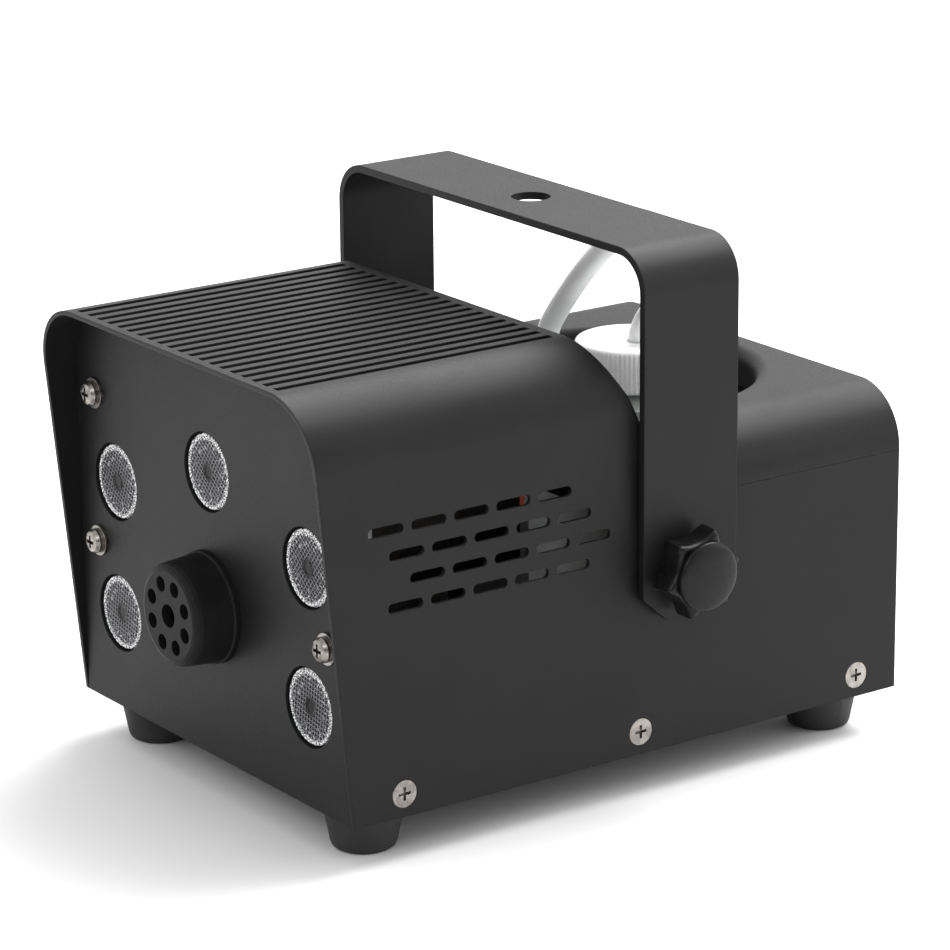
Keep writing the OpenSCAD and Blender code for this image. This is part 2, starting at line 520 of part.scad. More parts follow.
module switch_body() color([0.1, 0.1, 0.1]) place() {
  difference() {
    union() {
      box([sw_x - 7.5, 174.55, sw_z - 10.5], [sw_x + 7.5, 176.2, sw_z + 10.5]);
      box([sw_x - 6.3, 160, sw_z - 9.3], [sw_x + 6.3, 174.6, sw_z + 9.3]);
    }
    box([sw_x - 5.2, 166, sw_z - 8.6], [sw_x + 5.2, 180, sw_z + 8.6]);
    xcyl(174, sw_z, 1.55, sw_x - 6, sw_x + 6, $fn = 48);
  }
  for (z = [-5, 5]) box([sw_x - 2.4, 152.5, sw_z + z - 0.4], [sw_x + 2.4, 160.1, sw_z + z + 0.4]);
}
// rocker, shown with its lower half pressed in
module switch_rocker() color([0.5, 0.05, 0.05]) place() translate([sw_x, 174, sw_z]) {
  rotate([-9, 0, 0]) xext(-4.9, 4.9) polygon([[-3.6, -6], [0.8, -8], [4.6, -8], [3.1, 0], [4.6, 8], [0.8, 8], [-3.6, 6]]);
  xcyl(0, 0, 1.5, -5.8, 5.8, $fn = 48);
}
module ready_lamp() color("green") place() translate([sw_x, 174.55, lamp_z]) rotate([-90, 0, 0]) {
  translate([0, 0, -14]) cylinder(r = 3.9, h = 14.1);
  cylinder(r = 5.5, h = 1.2);
  translate([0, 0, 1.1]) rotate_extrude() polygon([[0, 0], [3.6, 0], [3.4, 1], [2.6, 1.8], [1.3, 2.3], [0, 2.4]]);
}
wire_a = [[43, 98.3, 13], [43, 96.8, 13], [43, 93.5, 14.5], [41.5, 90.5, 19], [36, 90, 25], [28, 90.8, 29], [20, 92.5, 31], [15.2, 92, 31.2], [14, 89.4, 31], [14, 87.15, 31]];
wire_b = [[40, 98.3, 13], [40, 96.8, 13], [39.5, 93, 12], [36, 89, 11.5], [27, 88.4, 12.5], [10, 88.6, 14], [-4, 90, 18], [-11.5, 92.6, 25], [-13.8, 92.2, 30], [-14, 89.6, 31], [-14, 87.15, 31]];
wire_c = [[48, 145.85, 34], [48, 144.2, 34], [48.4, 142, 32], [48, 140.5, 26], [46, 137, 22], [44.3, 133.3, 20.5], [44.2, 133, 18.7], [44.2, 133, 17.06]];
wire_d = [[34, 145.85, 34], [34, 144.2, 34], [34.8, 142, 31.5], [37, 138.5, 25], [40.2, 132.6, 21.5], [41, 131, 20.2], [41, 131, 18.7], [41, 131, 17.06]];
module mains_wires() color([0.5, 0.3, 0.1]) place() {
  tube(route(wire_a, 3), 1.2, 8, [1, 0, 0]);
  tube(route(wire_b, 3), 1.2, 8, [1, 0, 0]);
  tube(route(wire_c, 3), 1.1, 8, [1, 0, 0]);
  tube(route(wire_d, 3), 1.1, 8, [1, 0, 0]);
}

base_tray();
front_panel();
rear_panel();
main_cover();
rear_deck();
step_panel();
side_screws();
front_screws();
front_washers();
rear_screws();
rubber_feet();
foot_screws();
bracket();
friction_washers();
knob_right();
knob_left();
knob_cap_right();
knob_cap_left();
knob_stud_right();
knob_stud_left();
washer_right();
washer_left();
pivot_nuts();
nozzle_guard();
nozzle();
heater_block();
heating_elements();
thermostat();
heater_brackets();
heat_shield();
led_board();
led_chips();
lens_holders();
led_lenses();
pump_coil();
pump_yoke();
pump_inlet();
pump_outlet();
pump_plunger();
pump_spring();
pump_mounts();
delivery_tube();
bottle();
bottle_cap();
cap_liner();
hose_bush();
feed_hose();
pickup_filter();
hose_clip();
bottle_cradle();
control_board();
board_parts();
inlet_socket();
inlet_pins();
fuse_drawer();
glass_fuse();
switch_body();
switch_rocker();
ready_lamp();
mains_wires();
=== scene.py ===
import json
import math

import bpy
from mathutils import Matrix, Vector


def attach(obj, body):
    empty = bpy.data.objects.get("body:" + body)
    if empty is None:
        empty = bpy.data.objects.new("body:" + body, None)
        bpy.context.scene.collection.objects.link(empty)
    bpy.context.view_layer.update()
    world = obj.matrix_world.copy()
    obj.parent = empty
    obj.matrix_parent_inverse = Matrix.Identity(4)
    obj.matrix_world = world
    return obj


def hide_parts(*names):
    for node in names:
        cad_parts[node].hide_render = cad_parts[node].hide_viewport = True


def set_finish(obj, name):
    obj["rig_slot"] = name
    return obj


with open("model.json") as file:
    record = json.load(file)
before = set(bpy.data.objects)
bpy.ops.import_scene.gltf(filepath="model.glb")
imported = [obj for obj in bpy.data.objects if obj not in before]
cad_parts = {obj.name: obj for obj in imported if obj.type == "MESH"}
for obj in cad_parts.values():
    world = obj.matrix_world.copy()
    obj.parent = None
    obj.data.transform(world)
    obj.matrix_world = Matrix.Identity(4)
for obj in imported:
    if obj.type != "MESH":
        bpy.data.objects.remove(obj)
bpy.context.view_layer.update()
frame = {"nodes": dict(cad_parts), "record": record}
nodes = frame["nodes"]
MM = 0.001
MID_Y, FOOT_H = 83.65, 12.0


def P(x, y, z):
    """A point given in the casing's millimetres, as a point of the row frame in metres."""
    return Vector((x * MM, (y - MID_Y) * MM, (z + FOOT_H) * MM))


scene = bpy.context.scene
coll = scene.collection

# ---------------------------------------------------------------- camera
az, el, roll = math.radians(54.69), math.radians(16.93), math.radians(-0.486)
K = 1.04
back = Vector((math.sin(az) * math.cos(el), -math.cos(az) * math.cos(el), math.sin(el)))
fwd = -back
right = fwd.cross(Vector((0, 0, 1))).normalized()
up = right.cross(fwd)
right_r = math.cos(roll) * right + math.sin(roll) * up
up_r = -math.sin(roll) * right + math.cos(roll) * up
place = -(-64.785 * K) * right_r - (-69.581 * K) * up_r - (1041.23 * K) * fwd
cam_data = bpy.data.cameras.new("camera")
cam = bpy.data.objects.new("camera", cam_data)
coll.objects.link(cam)
cam_data.sensor_width = 36.0
cam_data.lens = 4192.0 * 36.0 / 950.0
cam_data.clip_start, cam_data.clip_end = 0.05, 50.0
loc = P(*place)
m = Matrix.Identity(4)
for i, v in enumerate((right_r, up_r, back)):
    for j in range(3):
        m[j][i] = v[j]
m.translation = loc
cam.matrix_world = m
scene.camera = cam


# ---------------------------------------------------------------- mesh helpers
def mesh_obj(name, verts, faces, sharp=35.0, matrix=None):
    me = bpy.data.meshes.new(name)
    me.from_pydata([tuple(v) for v in verts], [], faces)
    me.validate()
    me.polygons.foreach_set("use_smooth", [True] * len(me.polygons))
    if sharp:
        me.set_sharp_from_angle(angle=math.radians(sharp))
    me.update()
    ob = bpy.data.objects.new(name, me)
    coll.objects.link(ob)
    if matrix is not None:
        ob.matrix_world = matrix
    return ob


def rings(profile, seg, radius=None):
    """Vertices and faces of a form turned about +Z. profile is (r, z) in mm from the axis or a rim; a radius of 0 closes on
    the axis. radius(i, angle, r, z) may change the radius of a point, for ribs and lobes."""
    verts, rows = [], []
    for i, (r, z) in enumerate(profile):
        if r <= 1e-9:
            rows.append([len(verts)])
            verts.append(Vector((0, 0, z * MM)))
            continue
        row = []
        for k in range(seg):
            a = 2 * math.pi * k / seg
            q = radius(i, a, r, z) if radius else r
            row.append(len(verts))
            verts.append(Vector((q * math.cos(a) * MM, q * math.sin(a) * MM, z * MM)))
        rows.append(row)
    faces = []
    for a, b in zip(rows, rows[1:]):
        for k in range(seg):
            n = (k + 1) % seg
            if len(a) == 1 and len(b) == 1:
                continue
            if len(a) == 1:
                faces.append((a[0], b[n], b[k]))
            elif len(b) == 1:
                faces.append((a[k], a[n], b[0]))
            else:
                faces.append((a[k], a[n], b[n], b[k]))
    return verts, faces


def closed_rings(profile, seg, radius=None):
    """As rings, for a profile that comes back to its first point."""
    verts, faces = rings(profile, seg, radius)
    n = len(profile)
    last, first = (n - 1) * seg, 0
    for k in range(seg):
        j = (k + 1) % seg
        faces.append((last + k, last + j, first + j, first + k))
    return verts, faces


def catmull(points, n):
    out = []
    for i in range(len(points) - 1):
        a, b = points[max(i - 1, 0)], points[i]
        c, d = points[i + 1], points[min(i + 2, len(points) - 1)]
        for j in range(n):
            t = j / n
            out.append(
                0.5 * ((2 * b) + (c - a) * t + (2 * a - 5 * b + 4 * c - d) * t * t + (3 * b - a - 3 * c + d) * t ** 3)
            )
    out.append(points[-1].copy())
    return out


def tube_mesh(name, points, radius, seg=28):
    """A round tube with closed ends along points, its rings turned as little as possible from one to the next."""
    tangents = []
    for i in range(len(points)):
        tangents.append((points[min(i + 1, len(points) - 1)] - points[max(i - 1, 0)]).normalized())
    side = tangents[0].orthogonal().normalized()
    verts, faces = [], []
    for p, t in zip(points, tangents):
        side = (side - side.dot(t) * t).normalized()
        other = t.cross(side)
        for k in range(seg):
            a = 2 * math.pi * k / seg
            verts.append(p + radius * (math.cos(a) * side + math.sin(a) * other))
    for i in range(len(points) - 1):
        for k in range(seg):
            n = (k + 1) % seg
            faces.append((i * seg + k, i * seg + n, (i + 1) * seg + n, (i + 1) * seg + k))
    last = (len(points) - 1) * seg
    faces.append(tuple(range(seg - 1, -1, -1)))
    faces.append(tuple(range(last, last + seg)))
    return mesh_obj(name, verts, faces, 50)


# ---------------------------------------------------------------- hose, built first
HOSE_R = 3.1
hose_mm = [
    (-49, 96.8, 34), (-49, 90, 34.3), (-49, 84, 38.3), (-49, 82.5, 45.5), (-48.8, 86.5, 53), (-48, 95, 57), (-45, 105, 58.4),
    (-40.5, 116, 60.5), (-36, 125.5, 65), (-33.8, 130.5, 71.5), (-33.5, 131.5, 76), (-33.5, 131.5, 80), (-32.2, 131.7, 86.4),
    (-28.8, 132.3, 92), (-24.9, 132.9, 97.3), (-20.9, 133.7, 102.5), (-16.9, 135, 107.6), (-12.9, 136.8, 112.5),
    (-8.4, 138.6, 117), (-3, 140, 120.5), (3.2, 140.7, 122.5), (9.7, 139.8, 122.1), (15, 137.5, 119.1), (17.9, 134.6, 114),
    (17.6, 132.7, 107.8), (14.6, 132, 101.9), (10.4, 132, 97), (7.8, 132, 91.2), (7, 132, 84), (5.8, 132, 70), (4.5, 132, 50),
    (4.5, 132, 30), (4.5, 132, 17),
]
SUB = 6
route = catmull([P(*p) for p in hose_mm], SUB)
CLIP, BUSH = 11, 27
loop_path = route[CLIP * SUB: BUSH * SUB + 1]
hose_loop = tube_mesh("feed_hose_loop", loop_path, HOSE_R * MM, 32)
hose_low = tube_mesh("feed_hose_lower", route[: CLIP * SUB + 1], HOSE_R * MM, 24)
hose_dip = tube_mesh("feed_hose_dip", route[BUSH * SUB:], HOSE_R * MM, 24)
for h in (hose_loop, hose_low, hose_dip):
    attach(h, "casing")
    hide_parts("feed_hose")
    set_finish(h, "hose_silicone")


# ---------------------------------------------------------------- materials
class Nodes:
    """A material's nodes, with short calls that add one node each."""

    def __init__(self, name):
        self.mat = bpy.data.materials.new(name)
        self.mat.use_nodes = True
        self.nt = self.mat.node_tree
        self.nt.nodes.clear()
        self.out = self.nt.nodes.new("ShaderNodeOutputMaterial")
        self.bsdf = self.nt.nodes.new("ShaderNodeBsdfPrincipled")
        self.nt.links.new(self.bsdf.outputs[0], self.out.inputs[0])
        self.co = self.nt.nodes.new("ShaderNodeTexCoord").outputs["Object"]

    def link(self, a, b):
        self.nt.links.new(a, b)

    def put(self, socket, value):
        if isinstance(value, bpy.types.NodeSocket):
            self.nt.links.new(value, socket)
        else:
            socket.default_value = value

    def mapping(self, vec, scale=(1, 1, 1), loc=(0, 0, 0), rot=(0, 0, 0)):
        n = self.nt.nodes.new("ShaderNodeMapping")
        self.link(vec, n.inputs["Vector"])
        n.inputs["Scale"].default_value = scale
        n.inputs["Location"].default_value = loc
        n.inputs["Rotation"].default_value = rot
        return n.outputs[0]

    def noise(self, vec, mm, detail=2.0, rough=0.5, distortion=0.0):
        n = self.nt.nodes.new("ShaderNodeTexNoise")
        self.link(vec, n.inputs["Vector"])
        n.inputs["Scale"].default_value = 1000.0 / mm
        n.inputs["Detail"].default_value = detail
        n.inputs["Roughness"].default_value = rough
        n.inputs["Distortion"].default_value = distortion
        return n.outputs[0]

    def voronoi(self, vec, mm, feature="F1", out="Distance"):
        n = self.nt.nodes.new("ShaderNodeTexVoronoi")
        n.feature = feature
        self.link(vec, n.inputs["Vector"])
        n.inputs["Scale"].default_value = 1000.0 / mm
        return n.outputs[out]

    def wave(self, vec, mm, direction="X", distortion=0.0):
        n = self.nt.nodes.new("ShaderNodeTexWave")
        n.bands_direction = direction
        self.link(vec, n.inputs["Vector"])
        n.inputs["Scale"].default_value = 1000.0 / mm / 20 * math.pi / math.pi
        n.inputs["Distortion"].default_value = distortion
        return n.outputs["Fac"]

    def remap(self, value, a, b, c, d, smooth=False):
        n = self.nt.nodes.new("ShaderNodeMapRange")
        n.interpolation_type = "SMOOTHSTEP" if smooth else "LINEAR"
        self.link(value, n.inputs["Value"])
        for s, v in zip(("From Min", "From Max", "To Min", "To Max"), (a, b, c, d)):
            n.inputs[s].default_value = v
        return n.outputs[0]

    def math(self, op, a, b=0.0, clamp=False):
        n = self.nt.nodes.new("ShaderNodeMath")
        n.operation = op
        n.use_clamp = clamp
        self.put(n.inputs[0], a)
        self.put(n.inputs[1], b)
        return n.outputs[0]

    def mix(self, fac, a, b, blend="MIX"):
        n = self.nt.nodes.new("ShaderNodeMix")
        n.data_type = "RGBA"
        n.blend_type = blend
        self.put(n.inputs[0], fac)
        for s, v in ((n.inputs[6], a), (n.inputs[7], b)):
            self.put(s, tuple(v) + (1.0,) if isinstance(v, (tuple, list)) and len(v) == 3 else v)
        return n.outputs[2]

    def split(self, vec):
        n = self.nt.nodes.new("ShaderNodeSeparateXYZ")
        self.link(vec, n.inputs[0])
        return n.outputs

    def bevel(self, mm, samples=4):
        n = self.nt.nodes.new("ShaderNodeBevel")
        n.samples = samples
        n.inputs["Radius"].default_value = mm * MM
        return n.outputs[0]

    def bump(self, height, mm, strength=1.0, normal=None):
        n = self.nt.nodes.new("ShaderNodeBump")
        n.inputs["Strength"].default_value = strength
        n.inputs["Distance"].default_value = mm * MM
        self.link(height, n.inputs["Height"])
        if normal is not None:
            self.link(normal, n.inputs["Normal"])
        return n.outputs[0]

    def set(self, **values):
        for k, v in values.items():
            self.put(self.bsdf.inputs[k.replace("_", " ")], v)
        return self


def finish_of(
    name, dark, light, rough, grain=0.4, bump=0.03, blot=18.0, metal=0.0, spec=0.5, coat=0.0, coat_rough=0.1, sss=0.0,
    sss_radius=(1, 1, 1), trans=0.0, ior=1.5, bevel=0.0, stretch=(1, 1, 1), detail=2.0, speck=0.12, bump_strength=1.0,
):
    """A moulded, painted or plated surface: two tones that drift over it, a fine grain in tone, gloss and relief."""
    n = Nodes(name)
    vec = n.mapping(n.co, scale=stretch) if stretch != (1, 1, 1) else n.co
    fine = n.noise(vec, grain, detail, 0.6)
    broad = n.noise(n.co, blot, 3.0, 0.55)
    tone = n.mix(n.remap(broad, 0.35, 0.65, 0.0, 1.0, True), dark, light)
    grainy = n.mix(n.remap(fine, 0.35, 0.7, 0.0, speck), tone, tuple(min(1.0, c * 2.2 + 0.01) for c in light))
    gloss = n.math("ADD", n.remap(fine, 0.3, 0.7, rough[0], rough[1]), n.remap(broad, 0.3, 0.7, -0.02, 0.03))
    edge = n.bevel(bevel) if bevel else None
    n.set(
        Base_Color=grainy, Roughness=gloss, Metallic=metal, IOR=ior, Specular_IOR_Level=spec, Coat_Weight=coat,
        Coat_Roughness=coat_rough, Subsurface_Weight=sss, Transmission_Weight=trans,
    )
    if sss:
        n.bsdf.inputs["Subsurface Radius"].default_value = sss_radius
        n.bsdf.inputs["Subsurface Scale"].default_value = 0.002
    n.set(Normal=n.bump(fine, bump, bump_strength, edge))
    return n.mat


mats = {
    "black_powder_coat": finish_of(
        "powder_coat", (0.0068, 0.0068, 0.0071), (0.0088, 0.0088, 0.0091), (0.38, 0.54), grain=0.42, bump=0.030, blot=26,
        spec=0.17, bevel=0.45, speck=0.10,
    ),
    "screw_steel": finish_of(
        "plated_screw", (0.20, 0.185, 0.175), (0.32, 0.30, 0.28), (0.22, 0.38), grain=0.5, bump=0.012, blot=3, metal=1.0,
        bevel=0.15, speck=0.10,
    ),
    "rubber": finish_of(
        "black_rubber", (0.015, 0.015, 0.015), (0.022, 0.022, 0.022), (0.55, 0.72), grain=0.3, bump=0.02, blot=9, spec=0.4,
        bevel=0.4, speck=0.06,
    ),
    "knob_plastic": finish_of(
        "knob_moulding", (0.005, 0.005, 0.0053), (0.0075, 0.0075, 0.0078), (0.25, 0.35), grain=0.28, bump=0.008, blot=7,
        spec=0.16, bevel=0.0, speck=0.04,
    ),
    "guard_plastic": finish_of(
        "guard_moulding", (0.006, 0.006, 0.0063), (0.009, 0.009, 0.0093), (0.42, 0.56), grain=0.35, bump=0.018, blot=8,
        spec=0.12, bevel=0.3, speck=0.07,
    ),
    "brass": finish_of(
        "turned_brass", (0.55, 0.38, 0.14), (0.68, 0.50, 0.22), (0.22, 0.36), grain=0.5, bump=0.01, blot=4, metal=1.0,
        bevel=0.15, stretch=(1, 6, 1),
    ),
    "aluminium": finish_of(
        "cast_aluminium", (0.50, 0.51, 0.53), (0.62, 0.63, 0.65), (0.36, 0.52), grain=0.6, bump=0.02, blot=8, metal=1.0,
        bevel=0.3,
    ),
    "bright_steel": finish_of(
        "zinc_steel", (0.46, 0.46, 0.48), (0.58, 0.58, 0.60), (0.26, 0.40), grain=0.7, bump=0.012, blot=6, metal=1.0,
        bevel=0.2, stretch=(1, 1, 5),
    ),
    "led_yellow": finish_of(
        "led_phosphor", (0.66, 0.58, 0.16), (0.78, 0.70, 0.24), (0.45, 0.6), grain=0.2, bump=0.01, blot=1.5, speck=0.05
    ),
    "coil_tape": finish_of(
        "coil_tape", (0.34, 0.05, 0.03), (0.45, 0.09, 0.05), (0.30, 0.45), grain=0.4, bump=0.03, blot=5, stretch=(1, 9, 1),
        coat=0.3, bevel=0.3,
    ),
    "ivory_plastic": finish_of(
        "ivory_moulding", (0.68, 0.64, 0.52), (0.75, 0.71, 0.60), (0.36, 0.48), grain=0.4, bump=0.01, blot=8, sss=0.1,
        bevel=0.25, speck=0.04,
    ),
    "cap_white": finish_of(
        "cap_polypropylene", (0.95, 0.95, 0.95), (0.97, 0.97, 0.97), (0.34, 0.44), grain=0.3, bump=0.008, blot=9, sss=0.15,
        bevel=0.2, speck=0.05,
    ),
    "liner_foam": finish_of(
        "liner_foam", (0.66, 0.66, 0.62), (0.76, 0.76, 0.72), (0.7, 0.85), grain=0.25, bump=0.05, blot=3, speck=0.1
    ),
    "filter_grey": finish_of(
        "sintered_filter", (0.18, 0.18, 0.19), (0.30, 0.30, 0.31), (0.6, 0.8), grain=0.35, bump=0.08, blot=3, speck=0.3
    ),
    "board_parts": finish_of(
        "component_cases", (0.02, 0.02, 0.04), (0.04, 0.04, 0.07), (0.3, 0.45), grain=0.4, bump=0.01, blot=6, bevel=0.3
    ),
    "rocker_red": finish_of(
        "rocker_moulding", (0.38, 0.012, 0.010), (0.46, 0.02, 0.015), (0.22, 0.32), grain=0.3, bump=0.006, blot=5, sss=0.1,
        bevel=0.35, speck=0.02,
    ),
    "lamp_green": finish_of(
        "lamp_moulding", (0.01, 0.26, 0.05), (0.02, 0.36, 0.08), (0.15, 0.25), grain=0.3, bump=0.006, blot=3, trans=0.35,
        bevel=0.2, speck=0.02,
    ),
    "wire_brown": finish_of(
        "wire_insulation", (0.22, 0.08, 0.025), (0.28, 0.11, 0.035), (0.35, 0.5), grain=0.3, bump=0.01, blot=6, speck=0.04
    ),
    "bottle_plastic": finish_of(
        "bottle_polyethylene", (0.38, 0.40, 0.385), (0.46, 0.475, 0.46), (0.38, 0.5), grain=0.5, bump=0.02, blot=12, sss=0.35,
        bevel=0.3, speck=0.05,
    ),
    "hose_silicone": finish_of(
        "silicone_hose", (0.88, 0.885, 0.885), (0.92, 0.925, 0.925), (0.28, 0.40), grain=0.4, bump=0.01, blot=7, sss=0.35,
        trans=0.0, ior=1.41, speck=0.02,
    ),
}


def board_material():
    """Solder mask with buried copper tracks."""
    n = Nodes("solder_mask")
    x, y, z = n.split(n.co)
    tracks = n.voronoi(n.mapping(n.co, scale=(1, 1, 0.2)), 5.0, "DISTANCE_TO_EDGE")
    line = n.remap(tracks, 0.02, 0.07, 1.0, 0.0, True)
    fine = n.noise(n.co, 0.5)
    base = n.mix(line, (0.012, 0.10, 0.035), (0.03, 0.19, 0.07))
    n.set(Base_Color=n.mix(n.remap(fine, 0.4, 0.7, 0.0, 0.15), base, (0.05, 0.2, 0.1)), Roughness=n.remap(fine, 0.3, 0.7, 0.28, 0.42))
    n.set(Normal=n.bump(line, 0.04))
    return n.mat


def glass_material():
    n = Nodes("fuse_glass")
    x, y, z = n.split(n.co)
    ends = n.remap(n.math("ABSOLUTE", n.math("SUBTRACT", x, 0.041)), 0.0060, 0.0061, 0.0, 1.0)
    fine = n.noise(n.co, 0.6)
    n.set(
        Base_Color=n.mix(ends, (0.80, 0.84, 0.86), (0.58, 0.58, 0.60)), Metallic=ends,
        Roughness=n.remap(fine, 0.3, 0.7, 0.08, 0.2), IOR=1.5, Transmission_Weight=n.remap(ends, 0.0, 1.0, 0.9, 0.0),
    )
    n.set(Normal=n.bump(fine, 0.01))
    return n.mat


mats["board_green"] = board_material()
mats["fuse_glass"] = glass_material()


def lens_material():
    """A lamp's moulded lens, drawn opaque with light painted on: small dark square cells between ridges with a painted
    highlight, a painted highlight band where its skirt shows, painted glints, and a dark middle where the chip sits."""
    n = Nodes("lamp_lens")
    x, y, z = n.split(n.co)
    pitch = 1.18 * MM
    px = n.math("PINGPONG", x, pitch / 2)
    pz = n.math("PINGPONG", z, pitch / 2)
    ridge = n.math("MINIMUM", px, pz)
    # the ridge lines carry a painted highlight; the clear lens is drawn opaque
    line = n.remap(ridge, 0.06 * MM, 0.17 * MM, 1.0, 0.0, True)
    off_x = n.math("SUBTRACT", x, 0.0)
    r = n.math("SQRT", n.math("ADD", n.math("MULTIPLY", off_x, off_x), n.math("MULTIPLY", z, z)))
    patch = n.noise(n.co, 2.6, 2.0, 0.6)
    fine = n.noise(n.co, 0.45, 2.0, 0.6)
    wobble = n.math("ADD", r, n.remap(patch, 0.3, 0.7, -0.5 * MM, 0.5 * MM))
    # a painted highlight band near the lens rim, its edge broken by noise
    rim = n.remap(wobble, 8.15 * MM, 8.75 * MM, 0.0, 1.0, True)
    heart = n.remap(n.math("ADD", r, n.remap(fine, 0.3, 0.7, -0.3 * MM, 0.3 * MM)), 2.1 * MM, 2.9 * MM, 1.0, 0.0, True)
    # dark cells and ridge lines with a painted highlight
    cells = n.mix(line, (0.0015, 0.0015, 0.002), (0.17, 0.17, 0.18))
    # painted glints, stronger towards the rim, stand in for light sparkling in the clear lens
    painted_glint = n.remap(n.noise(n.co, 1.0, 2.0, 0.7), 0.56, 0.66, 0.0, 1.0, True)
    field = n.mix(n.math("MULTIPLY", painted_glint, n.remap(r, 3.5 * MM, 8.5 * MM, 0.0, 0.7, True)), cells, (0.80, 0.80, 0.82))
    # the painted highlight band's tone: bright sparkle over near-black
    rim_highlight_tone = n.mix(n.remap(fine, 0.44, 0.60, 0.0, 1.0, True), (0.06, 0.06, 0.065), (0.95, 0.95, 0.96))
    body = n.mix(rim, field, rim_highlight_tone)
    body = n.mix(heart, body, (0.006, 0.006, 0.007))
    n.set(
        Base_Color=body, Roughness=n.remap(fine, 0.3, 0.7, 0.10, 0.22), Metallic=0.0,
        IOR=1.49, Specular_IOR_Level=0.12, Coat_Weight=0.0, Coat_Roughness=0.05,
    )
    n.set(Normal=n.bump(fine, 0.012))
    return n.mat


mats["lens_clear"] = lens_material()

tinted_steel = finish_of(
    "heat_tinted_steel", (0.030, 0.028, 0.027), (0.050, 0.046, 0.042), (0.42, 0.58), grain=0.7, bump=0.012, blot=9, metal=1.0,
    bevel=0.2, stretch=(1, 1, 5),
)
slot_of = {}
for part in frame["record"]["subparts"]:
    slot_of[part["node"]] = part["material_slot"]
for name, ob in nodes.items():
    ms = tinted_steel if name in ("heat_shield", "heater_brackets") else mats[slot_of[name]]
    ob.data.materials.clear()
    ob.data.materials.append(ms)
    ob["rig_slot"] = slot_of[name]
for h in (hose_loop, hose_low, hose_dip):
    h.data.materials.append(mats["hose_silicone"])


def add(ob, body, slot, *replaced):
    ob.data.materials.clear()
    ob.data.materials.append(mats[slot])
    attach(ob, body)
    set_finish(ob, slot)
    if replaced:
        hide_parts(*replaced)
    return ob


# ---------------------------------------------------------------- star knobs
KNOB_D = 24.6


def lobed(a, phase):
    """Outline of the star, by angle: six lobes with round tips between wide shallow flutes."""
    step = math.pi / 3
    d = (a - phase + step / 2) % step - step / 2      # from the nearest lobe's middle
    al = step / 2 - abs(d)
    big, rad = 19.6 * KNOB_D / 24, 10.6 * KNOB_D / 24
    inside = rad * rad - (big * math.sin(al)) ** 2
    flute = big * math.cos(al) - math.sqrt(max(inside, 0.0))
    tip, k = 12.08, 1.5
    h = max(k - abs(flute - tip), 0.0) / k
    return min(flute, tip) - h * h * k * 0.25


star_profile = [
    (0, 1.12), (8.5, 1.12), (8.5, 1.62), (-1.5, 1.64), (-0.8, 1.74), (-0.3, 2.05), (-0.06, 2.5), (0.0, 3.0), (-0.06, 5.4),
    (-0.14, 7.0), (-0.30, 7.75), (-0.62, 8.28), (-1.08, 8.62), (-1.7, 8.78), (-2.6, 8.80), (7.62, 8.74), (7.62, 8.3), (0, 8.3),
]


def knob(side):
    body = "knob_right" if side > 0 else "knob_left"
    phase = math.radians(41.4 if side > 0 else 18.6)
    at = P(68.5 * side, 100, 49.5)
    if side > 0:
        rot = Matrix(((0, 0, 1), (0, 1, 0), (-1, 0, 0)))
    else:
        rot = Matrix(((0, 0, -1), (0, 1, 0), (1, 0, 0)))
    mat = Matrix.Translation(at) @ rot.to_4x4()

    verts, rows = [], []
    seg = 216
    for i, (r, z) in enumerate(star_profile):
        if i in (0, len(star_profile) - 1):
            rows.append([len(verts)])
            verts.append(Vector((0, 0, z * MM)))
            continue
        row = []
        for k in range(seg):
            a = 2 * math.pi * k / seg
            q = r if r > 1 else lobed(a, phase) + r
            row.append(len(verts))
            verts.append(Vector((q * math.cos(a) * MM, q * math.sin(a) * MM, z * MM)))
        rows.append(row)
    faces = []
    for a, b in zip(rows, rows[1:]):
        for k in range(seg):
            n = (k + 1) % seg
            if len(a) == 1:
                faces.append((a[0], b[n], b[k]))
            elif len(b) == 1:
                faces.append((a[k], a[n], b[0]))
            else:
                faces.append((a[k], a[n], b[n], b[k]))
    tag = "right" if side > 0 else "left"
    add(mesh_obj("star_knob_" + tag, verts, faces, 40, mat), body, "knob_plastic", "knob_" + tag)
    dome = [(0, 8.0), (7.45, 8.0), (7.45, 9.2), (8.75, 9.22), (9.0, 9.32), (9.1, 9.55), (9.1, 10.05), (9.02, 10.35), (8.8, 10.6),
            (8.4, 10.82), (7.6, 11.05), (6.4, 11.3), (5.0, 11.52), (3.4, 11.68), (1.7, 11.77), (0, 11.8)]
    v, f = rings(dome, 128)
    add(mesh_obj("knob_dome_" + tag, v, f, 40, mat), body, "knob_plastic", "knob_cap_" + tag)


knob(1)
knob(-1)


# ---------------------------------------------------------------- ribbed bottle cap
RIBS = 76
outer = [(15.0, 79.2, 0), (15.3, 79.35, 0.15), (15.5, 79.7, 0.5), (15.5, 80.1, 1.0), (15.5, 82.0, 1.0), (15.5, 85.0, 1.0),
         (15.5, 88.2, 1.0), (15.48, 89.2, 1.0), (15.42, 89.75, 0.75), (15.28, 90.25, 0.35), (15.02, 90.7, 0.1), (14.6, 91.02, 0.0),
         (14.05, 91.17, 0.0), (13.4, 91.2, 0.0), (12.6, 91.2, 0.0), (9.1, 91.2, 0.0), (8.78, 91.12, 0.0), (8.65, 90.9, 0.0),
         (8.65, 89.45, 0.0), (13.4, 89.42, 0.0), (13.62, 89.2, 0.0), (13.62, 79.4, 0.0), (13.8, 79.2, 0.0)]


def ribbed(i, a, r, z):
    share = outer[i][2]
    w = 0.5 + 0.5 * math.cos(a * RIBS)
    return r - 0.42 * share * (1 - w ** 0.7)


v, f = closed_rings([(r, z) for r, z, s in outer], RIBS * 8, ribbed)
cap = mesh_obj("ribbed_cap", v, f, 50, Matrix.Translation(P(4.5, 132, 0)))
add(cap, "bottle_cap", "cap_white", "bottle_cap")


# ---------------------------------------------------------------- lamp lenses
PITCH = 1.18


